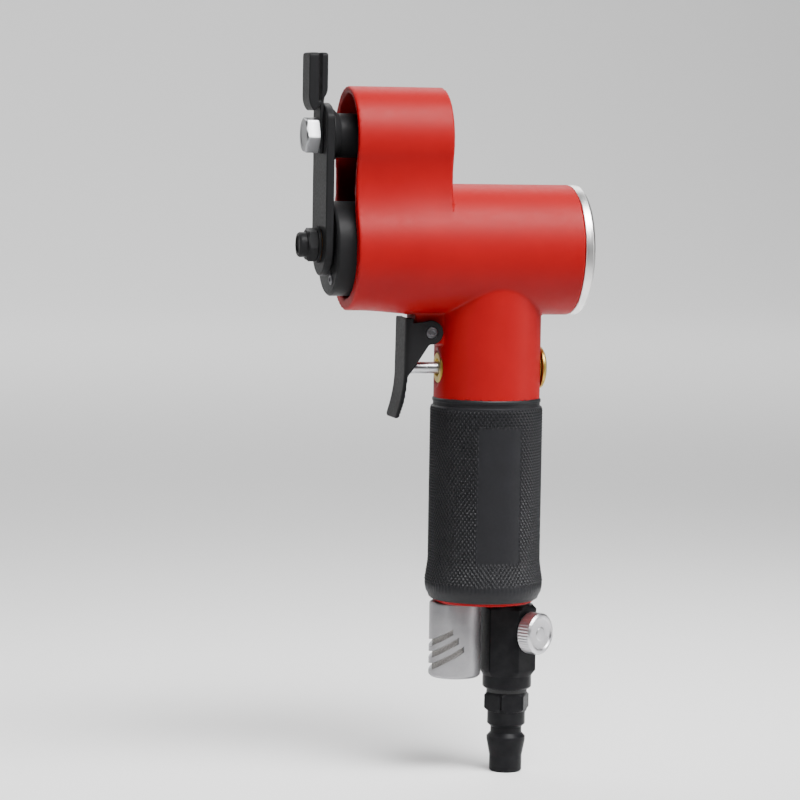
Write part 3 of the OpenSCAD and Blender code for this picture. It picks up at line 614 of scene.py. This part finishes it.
def make_end_cap():
    """The cap's ring with its two spanner holes."""
    rim = REAR_X
    face = CAP_HIGH[0]
    spigot = CAP_LOW[0]
    profile = [(0, spigot + 3), (5, spigot + 3), (5, spigot), (BORE_R, spigot), (BORE_R, rim),
               (BARREL_R, rim + 0.02), (BARREL_R, face - 0.9), (BARREL_R - 0.9, face), (0, face)]
    obj = turned("end_cap_ring", profile, (0, 0, MOTOR_Z), AXIS_X, AXIS_Y, 128, 0.35)
    hole = [(0, face - HOLE_DEPTH), (HOLE_R, face - HOLE_DEPTH), (HOLE_R, face + 1), (0, face + 1)]
    places = [(0, side * HOLE_OUT * BARREL_R, MOTOR_Z) for side in (-1, 1)]
    cut(obj, [turned("hole", hole, place, AXIS_X, AXIS_Y, 32, 0) for place in places])
    finish_piece(obj, "root", RING, ["end_cap"])


# --------------------------------------------------------------------- grip
KNURLS = 84
KNURL_RISE = 1.75
KNURL_DEPTH = 0.7
PANEL_TURN = math.radians(-90)
PANEL_HALF_W = 6.9
PANEL_LOW, PANEL_HIGH = 11.5, 53.2
PANEL_EDGE = 0.25
GRIP_R = 17.1
GRIP_FLARE = 1.0
LIP_DROP = 0.55


def grip_relief(angle, h, r):
    """Diamond knurl, with a smooth panel on the left side of the handle."""
    height = h - GRIP_LOW[2]
    length = GRIP_HIGH[2] - GRIP_LOW[2]
    band = smooth_step(3.6, 5.2, height) * (1 - smooth_step(length - 3.4, length - 2.9, height))
    band = band if r > CORE_R + 1 else 0.0
    across = ((angle - PANEL_TURN + math.pi) % (2 * math.pi) - math.pi) * GRIP_R
    panel = 1 - smooth_step(PANEL_HALF_W - PANEL_EDGE, PANEL_HALF_W + PANEL_EDGE, np.abs(across))
    panel = panel * smooth_step(PANEL_LOW - PANEL_EDGE, PANEL_LOW + PANEL_EDGE, height)
    panel = panel * (1 - smooth_step(PANEL_HIGH - PANEL_EDGE, PANEL_HIGH + PANEL_EDGE, height))
    a = KNURLS * angle
    b = 2 * math.pi * height / KNURL_RISE
    ridge = np.abs(np.sin((a + b) / 2)) * np.abs(np.sin((a - b) / 2))
    return band * KNURL_DEPTH * ((1 - panel) * (ridge**0.7 - 0.5) - 0.12 * panel)


def make_grip():
    low = GRIP_LOW[2]
    high = GRIP_HIGH[2]
    wall_low, wall_high = 4.4, high - low - 2.9
    steps = round((wall_high - wall_low) / KNURL_RISE * (4))
    rows = [(CORE_R, high), (CORE_R, low), (FLANGE_R + 0.15, low), (FLANGE_R + 0.15, low - LIP_DROP),
            (16.3, low - LIP_DROP), (16.9, low - 0.1), (17.1, low + 0.5), (17.85, low + 1.9), (18.1, low + 3.2)]
    wall = []
    for k in range(steps + 1):
        h = wall_low + (wall_high - wall_low) * k / steps
        flare = 1 - smooth_step(3.2, 12.5, h)
        wall.append((GRIP_R + GRIP_FLARE * flare, low + h))
    rows = [*rows, *wall, (GRIP_R, high - 2.7), (16.5, high - 2.3), (16.5, high - 1.3),
            (16.75, high - 1.1), (16.75, high - 0.4), (16.4, high), (CORE_R, high)]
    segments = KNURLS * 6
    obj = turned("grip_rubber_sleeve", rows, (GRIP_X, 0, 0), AXIS_Z, AXIS_X, segments, 0.0,
                 relief=grip_relief)
    finish_piece(obj, "root", GRIP, ["grip_sleeve"])


# ------------------------------------------------------------ crank and link
def make_crank():
    low, high = box_mm("crank_disc")
    r = (high[2] - low[2]) / 2
    profile = [(0, low[0]), (r - 0.6, low[0]), (r, low[0] + 0.6), (r, CAVITY_END - 2.2),
               (7, CAVITY_END - 2.2), (7, high[0]), (0, high[0])]
    obj = turned("crank_drum", profile, (0, 0, MOTOR_Z), AXIS_X, AXIS_Y, 128, 0.3)
    finish_piece(obj, "rotor", BLACK, ["crank_disc"])
    low, high = box_mm("disc_screw")
    place = (0, (low[1] + high[1]) / 2, (low[2] + high[2]) / 2)
    profile = [(0, low[0] + 0.35), (0.8, low[0] + 0.3), (0.9, low[0]), (1.6, low[0]), (1.9, low[0] + 0.25),
               (1.9, low[0] + 0.45), (1.5, low[0] + 0.5), (1.5, high[0]), (0, high[0])]
    obj = turned("crank_socket_screw", profile, place, AXIS_X, AXIS_Y, 36, 0.08)
    finish_piece(obj, "rotor", PIN, ["disc_screw"])


def make_crank_nut():
    low, high = box_mm("crank_nut")
    place = (0, STUD[1], STUD[2])
    flats = 9.2
    collar_end = low[0]
    hex_start = collar_end + 2.4
    profile = [(0, collar_end + 0.5), (2.6, collar_end + 0.5), (2.9, collar_end), (3.4, collar_end),
               (3.8, collar_end + 0.5), (3.8, hex_start), (4.5, hex_start), (5.4, hex_start + 0.55),
               (5.4, high[0] - 0.4), (4.9, high[0]), (0, high[0])]
    obj = turned("crank_lock_nut", profile, place, AXIS_X, AXIS_Y, 144, 0.12,
                 hexagon_limit(flats, math.radians(42)), (hex_start, high[0]))
    finish_piece(obj, "rotor", BLACK, ["crank_nut"])


LINK_TOP = 9.8


def make_link():
    low, high = box_mm("link_plate")
    half = (high[1] - low[1]) / 2

    def plate(p):
        y, z = p[1] - STUD[1], p[2] - STUD[2]
        outline = np.hypot(y, np.minimum(z, 0)) - half
        crown = LINK_TOP + 4
        outline = smooth_max(outline, np.hypot(y, np.maximum(z - AXIS_GAP + 4, 0)) - crown, 1.0)
        shape = smooth_max(outline, span(p[0], low[0], high[0]), 0.45)
        return smooth_max(shape, -(np.hypot(y, z) - 4.8), 0.2)

    obj = moulded("link_side_plate", plate, low, high, 0.42)
    finish_piece(obj, "link", BLACK, ["link_plate"])
    low, high = box_mm("link_pin")
    flare = 2.6
    r = 6.7
    body_end = FRONT_X + 8.6
    profile = [(0, low[0]), (r + 2.4, low[0]), (r, low[0] + flare), (r, body_end), (4, body_end),
               (4, high[0]), (0, high[0])]
    obj = turned("link_upper_pin", profile, (0, STUD[1], PIN_Z), AXIS_X, AXIS_Y, 96, 0.5)
    finish_piece(obj, "link", BLACK, ["link_pin"])


HEAD_T = 4.1


def make_fork():
    low, high = box_mm("fork")
    half = (high[1] - low[1]) / 2
    plate_x1 = box_mm("link_plate")[0][0]
    bar_x0, bar_x1 = low[0], low[0] + 5.8
    bend = PIN_Z + 5.9
    top = high[2]
    slot_x0 = bar_x0 + 3.0
    head_x1 = box_mm("clamp_bolt")[0][0] + HEAD_T

    def shape(p):
        x, y, z = p[0], p[1] - STUD[1], p[2]
        base = np.maximum(span(x, head_x1, plate_x1), span(z, low[2], bend + 5))
        bar = smooth_max(bar_x0 - x, bend - z, 6.0)
        bar = np.maximum(bar, x - bar_x1)
        rear = (x - plate_x1) * 0.83 - (z - bend - 5.2) * 0.56
        bar = smooth_max(bar, rear, 0.8)
        bar = smooth_max(bar, z - top, 0.9)
        body = smooth_min(base, bar, 0.7)
        crown = np.hypot(np.maximum(np.abs(y) - half + 1.6, 0), np.maximum(z - top + 1.6, 0)) - 1.6
        body = smooth_max(body, crown, 0.3)
        body = smooth_max(body, np.abs(y) - half, 0.55)
        slot = np.maximum(span(x, slot_x0, slot_x0 + 0.9), top - 14.7 - z)
        return smooth_max(body, -slot, 0.25)

    obj = moulded("fork_blade", shape, low, high, 0.3)
    finish_piece(obj, "link", BLACK, ["fork"])


def make_clamp_bolt():
    low, high = box_mm("clamp_bolt")
    head = low[0] + HEAD_T
    profile = [(0, low[0] + 0.15), (3.2, low[0] + 0.15), (3.6, low[0]), (4.85, low[0]), (5.75, low[0] + 0.55),
               (5.8, head), (3, head), (3, high[0]), (0, high[0])]
    obj = turned("clamp_bolt_hex", profile, (0, STUD[1], PIN_Z), AXIS_X, AXIS_Y, 144, 0.2,
                 hexagon_limit(10.0, math.radians(38)), (low[0], head))
    finish_piece(obj, "link", BOLT, ["clamp_bolt"])


# ---------------------------------------------------------- trigger and valve
FRONT_REACH, FRONT_LEAN = 7.9, 0.0124
HOOK_FROM, HOOK_CURVE = 11.8, 0.0121
BACK_REACH, BACK_LEAN = 6.1, 0.088
BACK_HOOK_FROM, BACK_HOOK_LEN, BACK_HOOK_DEPTH = 17.5, 8.5, 1.6
THINNEST_BLADE = 0.9
LEFT_FOLD_R, RIGHT_FOLD_R = 3.0, 0.8
TIP_R = 2.6
EAR_R = 3.6
TRIGGER_BORE_R = 1.8


def trigger_front(drop):
    """X of the trigger's front face at a height below its pivot."""
    hook = HOOK_CURVE * np.maximum(drop - HOOK_FROM, 0) ** 2
    return PIVOT[0] - FRONT_REACH - FRONT_LEAN * drop - hook


def trigger_back(drop):
    """X of the face that the valve stem bears on, which leans so that it stays off the stem's rim."""
    hook = BACK_HOOK_DEPTH * np.clip((drop - BACK_HOOK_FROM) / BACK_HOOK_LEN, 0, 2) ** 2
    back = PIVOT[0] - BACK_REACH - BACK_LEAN * drop - hook
    return np.maximum(back, trigger_front(drop) + THINNEST_BLADE)


def trigger_shape(p):
    """A folded blade with two cheeks; its left fold is rounder than its right one."""
    x, y, z = p[0], p[1], PIVOT[2] - p[2]
    half = TRIGGER_HALF
    inward = x - trigger_front(z)
    solid = smooth_max(-inward, np.abs(y) - half, np.where(y < 0, LEFT_FOLD_R, RIGHT_FOLD_R))
    shell = np.maximum(solid, -(solid + TRIGGER_T))
    top = -z - 4.4
    bottom = z - (PIVOT[2] - TRIGGER_LOW[2])
    corner = np.hypot(np.maximum(np.abs(y) - half + TIP_R, 0), np.maximum(bottom + TIP_R, 0)) - TIP_R
    ear = np.hypot(x - PIVOT[0], z) - EAR_R
    web = np.maximum(x - PIVOT[0] - 0.4, -3.6 - z - 0.11 * (x - PIVOT[0]))
    diagonal = 0.553 * z + 0.835 * (x - PIVOT[0]) - 1.4
    foot = z - 13.4
    cheek = smooth_max(smooth_max(web, diagonal, 0.8), foot, 0.8)
    cheek = smooth_min(cheek, ear, 0.6)
    blade = x - trigger_back(z)
    shape = np.maximum(shell, smooth_min(cheek, blade, 0.5))
    pocket = np.maximum(trigger_back(z) - x, np.abs(y) - (half - TRIGGER_T - 0.1))
    shape = smooth_max(shape, -pocket, 0.15)
    shape = smooth_max(shape, smooth_max(top, bottom, 0.3), 0.3)
    shape = smooth_max(shape, corner, 0.3)
    return smooth_max(shape, -(np.hypot(x - PIVOT[0], z) - TRIGGER_BORE_R), 0.15)


def make_trigger():
    obj = moulded("trigger_lever", trigger_shape, TRIGGER_LOW, TRIGGER_HIGH, 0.34)
    finish_piece(obj, "trigger", BLACK, ["trigger"])
    half = box_mm("trigger_pin")[1][1]
    profile = [(0, -half + 0.25), (0.7, -half + 0.25), (0.9, -half), (1.45, -half), (1.75, -half + 0.3),
               (1.75, half - 0.3), (1.45, half), (0.9, half), (0.7, half - 0.25), (0, half - 0.25)]
    obj = turned("trigger_pivot_pin", profile, (PIVOT[0], 0, PIVOT[2]), AXIS_Y, AXIS_Z, 48, 0.08)
    finish_piece(obj, "root", PIN, ["trigger_pin"])


def make_valve():
    low, high = box_mm("valve_stem")
    place = (0, 0, VALVE_Z)
    profile = [(0, low[0]), (1.3, low[0]), (1.85, low[0] + 0.55), (1.85, high[0] - 1), (4.2, high[0] - 1),
               (4.2, high[0]), (0, high[0])]
    obj = turned("valve_push_stem", profile, place, AXIS_X, AXIS_Y, 48, 0.15)
    finish_piece(obj, "valve", BRIGHT, ["valve_stem"])
    low, high = box_mm("valve_bush")
    r = (high[2] - low[2]) / 2
    profile = [(1.9, high[0]), (1.9, low[0] + 1.4), (2.6, low[0] + 1.2), (2.9, low[0]),
               (r - 0.3, low[0]), (r, low[0] + 0.3), (r, high[0]), (1.9, high[0])]
    obj = turned("valve_brass_bush", profile, place, AXIS_X, AXIS_Y, 72, 0.15)
    finish_piece(obj, "root", BRASS, ["valve_bush"])
    low, high = box_mm("rear_plug")
    r = (high[2] - low[2]) / 2
    rim = high[0] - 2.2
    profile = [(0, low[0]), (CHAMBER_R, low[0]), (CHAMBER_R, rim), (r, rim), (r, rim + 0.9),
               (r - 1.0, rim + 1.5), (3.4, rim + 1.75), (2.6, rim + 1.75), (2.3, rim + 1.5),
               (2.2, rim + 0.2), (0, rim + 0.2)]
    obj = turned("valve_brass_plug", profile, place, AXIS_X, AXIS_Y, 72, 0.3)
    finish_piece(obj, "root", BRASS, ["rear_plug"])


def make_spring():
    """The valve's return spring, a helix of round wire at one fixed length."""
    low, high = box_mm("valve_spring")
    wire, coils, around, steps = 0.4, 5, 10, 36
    radius = (high[2] - low[2]) / 2 - wire
    count = coils * steps
    vertices, faces = [], []
    for i in range(count + 1):
        a = 2 * math.pi * i / steps
        x = low[0] + wire + (high[0] - low[0] - 2 * wire) * i / count
        for k in range(around):
            b = 2 * math.pi * k / around
            r = radius + wire * math.cos(b)
            vertices.append((x + wire * math.sin(b), r * math.cos(a), VALVE_Z + r * math.sin(a)))
    for i in range(count):
        for k in range(around):
            m = (k + 1) % around
            faces.append([i * around + k, i * around + m, (i + 1) * around + m, (i + 1) * around + k])
    faces += [list(range(around))[::-1], [count * around + k for k in range(around)]]
    obj = closed_tool("valve_return_spring", vertices, faces)
    shade(obj)
    finish_piece(obj, "root", BRIGHT, ["valve_spring"])
    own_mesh(obj)


# --------------------------------------------------------- inlet and exhaust
def make_muffler():
    low, high = box_mm("muffler")
    r = (high[0] - low[0]) / 2
    x = (high[0] + low[0]) / 2
    shoulder = CASE_LOW[2]
    profile = [(0, low[2]), (r - 0.8, low[2]), (r, low[2] + 0.8), (r, shoulder - 0.02), (4.8, shoulder),
               (4.8, high[2]), (3.5, high[2]), (3.5, shoulder - 2), (r - 1.1, shoulder - 2),
               (r - 1.1, low[2] + 1.5), (0, low[2] + 1.5)]
    obj = turned("muffler_tube", profile, (x, 0, 0), AXIS_Z, AXIS_X, 128, 0.6)
    cut(obj, [muffler_slot(x, r, low[2] + 10.6 - 3.75 * i, math.radians(-19 + 12.5 * i)) for i in range(3)])
    finish_piece(obj, "root", ALLOY, ["muffler"])


SLOT_TILT = math.radians(31.5)
SLOT_LOWEST = math.radians(-100)
SLOT_START = math.radians(-136)
SLOT_HALF = 1.0


def muffler_slot(x, r, lowest, end):
    """A slanted saw cut in the tube, as a curved strip through its wall."""
    steps = 24
    vertices, faces = [], []
    for k in range(steps + 1):
        a = SLOT_START + (end - SLOT_START) * k / steps
        rise = r * math.tan(SLOT_TILT) * (1 - math.cos(a - SLOT_LOWEST))
        for reach in (r - 2.2, r + 0.8):
            for side in (-SLOT_HALF, SLOT_HALF):
                vertices.append((x + reach * math.sin(a), -reach * math.cos(a), lowest + rise + side))
    for k in range(steps):
        b = 4 * k
        for i, j in ((0, 1), (1, 3), (3, 2), (2, 0)):
            faces.append([b + i, b + j, b + 4 + j, b + 4 + i])
    faces += [[0, 2, 3, 1], [4 * steps, 4 * steps + 1, 4 * steps + 3, 4 * steps + 2]]
    return closed_tool("slot", vertices, faces)


def closed_tool(name, vertices, faces):
    """A mesh whose faces all look outwards."""
    tool = mesh_object(name, vertices, faces)
    work = bmesh.new()
    work.from_mesh(tool.data)
    bmesh.ops.recalc_face_normals(work, faces=work.faces)
    work.to_mesh(tool.data)
    work.free()
    return tool


INLET_FLATS = 15.5
PLUG_FLATS = 12.6


def make_inlet():
    low, high = box_mm("inlet_body")
    seal_low = box_mm("inlet_seal")[0][2]
    hex_low = low[2] + 4.1
    profile = [(3.8, low[2]), (7.0, low[2]), (7.6, low[2] + 0.6), (7.6, hex_low), (8.95, hex_low + 1.7),
               (8.95, seal_low - 1.2), (7.6, seal_low), (5.6, seal_low), (5.6, high[2]), (3.8, high[2]),
               (3.8, low[2])]
    turn = math.atan2(KNOB_AXIS[1], KNOB_AXIS[0])
    obj = turned("inlet_hex_body", profile, (0, 0, 0), AXIS_Z, AXIS_X, 144, 0.2,
                 hexagon_limit(INLET_FLATS, turn), (hex_low - 0.01, seal_low + 0.01))
    finish_piece(obj, "root", BLACK_FITTING, ["inlet_body"])


def make_plug():
    high = box_mm("air_plug")[1]
    hex_low, hex_high = 19.0, 24.9
    profile = [(3.2, 0.5), (3.6, 0.0), (4.55, 0.0), (5.05, 0.55), (5.05, 5.0), (6.0, 10.0), (6.0, 11.0),
               (4.85, 12.2), (4.85, 14.0), (5.9, 15.0), (5.9, hex_low), (6.2, hex_low), (7.27, hex_low + 1.0),
               (7.27, hex_high - 1.0), (6.3, hex_high), (5, hex_high), (5, high[2]), (3.2, high[2]),
               (3.2, 0.5)]
    obj = turned("quick_plug", profile, (0, 0, 0), AXIS_Z, AXIS_X, 144, 0.2,
                 hexagon_limit(PLUG_FLATS, math.radians(30)), (hex_low - 0.01, hex_high + 0.01))
    corner = math.radians(-30)
    section = [(6.5, -0.25), (8.0, -0.25), (8.0, 0.25), (6.5, 0.25)]
    vertices = [(r * math.sin(corner) + w * math.cos(corner), -r * math.cos(corner) + w * math.sin(corner), z)
                for z in (hex_low + 0.7, hex_high - 0.7) for r, w in section]
    sides = [[k, (k + 1) % 4, 4 + (k + 1) % 4, 4 + k] for k in range(4)]
    cut(obj, [closed_tool("groove", vertices, [*sides, [3, 2, 1, 0], [4, 5, 6, 7]])])
    finish_piece(obj, "root", BLACK_FITTING, ["air_plug"])


def make_knob():
    low = INLET_FLATS / 2 + GAP
    thick = 5.0
    r = 6.4
    ridges = 40

    def serration(angle, h, radius):
        fade = smooth_step(low + thick - 1.0, low + thick - 0.3, h)
        edge = smooth_step(low + 0.1, low + 0.9, h) * (1 - fade)
        return (edge if radius > r - 0.4 else 0.0) * 0.16 * (np.abs(np.sin(angle * ridges / 2)) - 0.6)

    wall = [(r, low + 0.5 + (thick - 1.1) * k / 10) for k in range(11)]
    profile = [(0, low), (r - 0.5, low), *wall, (r - 0.6, low + thick), (r - 1.3, low + thick),
               (r - 1.7, low + thick - 0.45), (2.2, low + thick - 0.5), (1.8, low + thick - 0.3),
               (0, low + thick - 0.25)]
    side = np.cross(KNOB_AXIS, AXIS_Z)
    obj = turned("regulator_dial", profile, KNOB_POS, KNOB_AXIS, side, ridges * 8, 0.18, relief=serration)
    finish_piece(obj, "regulator", KNOB, ["regulator_knob"])


# ------------------------------------------------- finishes of the CAD nodes
def finish_nodes():
    groups = {
        "polished": (STEEL, "cylinder_liner front_end_plate rear_end_plate rotor"),
        "bearings": (BRIGHT, "front_bearing_outer front_bearing_balls front_bearing_inner rear_bearing_outer "
                             "rear_bearing_balls rear_bearing_inner idler_bearing_outer idler_bearing_balls "
                             "idler_bearing_inner inlet_screen regulator_spindle"),
        "seals": (RUBBER, "cap_o_ring valve_poppet bush_o_ring inlet_seal spindle_o_ring plug_seal"),
        "vanes": (VANE, "rotor_vanes"),
        "black": (BLACK, "crank_stud crank_washer"),
        "idler": (IDLER, "idler"),
        "bronze": (BRONZE, "link_bush"),
        "brass": (BRASS, "valve_seat"),
        "felt": (FELT, "muffler_felt"),
    }
    for material, names in groups.values():
        for name in names.split():
            obj = frame["nodes"][name]
            obj.data.materials.clear()
            obj.data.materials.append(material)


# --------------------------------------------------------- floor, light, view
AIM = (-0.0349, 0.0030, 0.1156)
AZIMUTH, ELEVATION, ROLL = -14.6, 4.7, 0.9
DISTANCE = 1.0376
LENS, SENSOR = 152.1, 36.0


def make_camera():
    a, e = math.radians(AZIMUTH), math.radians(ELEVATION)
    back = Vector((math.sin(a) * math.cos(e), -math.cos(a) * math.cos(e), math.sin(e)))
    data = bpy.data.cameras.new("camera")
    data.lens, data.sensor_width = LENS, SENSOR
    camera = bpy.data.objects.new("camera", data)
    bpy.context.scene.collection.objects.link(camera)
    camera.location = Vector(AIM) + back * DISTANCE
    turn = back.to_track_quat("Z", "Y").to_matrix().to_4x4()
    camera.rotation_euler = (turn @ Matrix.Rotation(math.radians(ROLL), 4, "Z")).to_euler()
    bpy.context.scene.camera = camera


def make_floor():
    floor_z = CAD_BOX[0][2]
    size, bend, height, reach = 3.0, 0.6, 3.0, 9.0
    outline = [(-reach, 0.0), (size - bend, 0.0)]
    for k in range(1, 13):
        t = math.pi / 2 * k / 12
        outline.append((size - bend + bend * math.sin(t), bend - bend * math.cos(t)))
    outline.append((size, height))
    vertices = [(x / MM, y / MM, (floor_z + z) / MM) for y, z in outline for x in (-reach, reach)]
    faces = [[2 * k, 2 * k + 1, 2 * k + 3, 2 * k + 2] for k in range(len(outline) - 1)]
    floor = mesh_object("floor", vertices, faces)
    s = Surface("pale_floor", (238, 238, 238), roughness=0.9)
    floor.data.materials.append(s.material)
    shade(floor, 60)


def area_light(name, place, aim, size, power, spread=180):
    """A softbox; a spread under 180 degrees is a grid on its front."""
    data = bpy.data.lights.new(name, "AREA")
    data.shape = "RECTANGLE"
    data.size, data.size_y = size
    data.energy = power
    data.spread = math.radians(spread)
    light = bpy.data.objects.new(name, data)
    bpy.context.scene.collection.objects.link(light)
    light.location = place
    light.rotation_euler = (Vector(place) - Vector(aim)).to_track_quat("Z", "Y").to_euler()


def make_lights():
    aim = (-0.01, 0.0, 0.14)
    area_light("overhead_key", (0.16, -0.42, 0.82), aim, (0.9, 0.4), 4.5, 60)
    area_light("right_strip", (0.9, -0.35, 0.32), aim, (0.3, 0.8), 0.9, 80)
    area_light("left_strip", (-1.0, -0.7, 0.30), aim, (0.25, 0.7), 0.2, 80)
    area_light("floor_wash", (0.0, 1.9, 1.6), (0.0, 1.7, 0.0), (3.0, 1.4), 58)
    world = bpy.data.worlds.new("studio")
    world.use_nodes = True
    background = world.node_tree.nodes["Background"]
    background.inputs["Color"].default_value = (1, 1, 1, 1)
    background.inputs["Strength"].default_value = 0.02
    bpy.context.scene.world = world


make_camera()
make_casing()
make_end_cap()
make_grip()
make_crank()
make_crank_nut()
make_link()
make_fork()
make_clamp_bolt()
make_trigger()
make_valve()
make_spring()
make_muffler()
make_inlet()
make_plug()
make_knob()
finish_nodes()
make_floor()
make_lights()
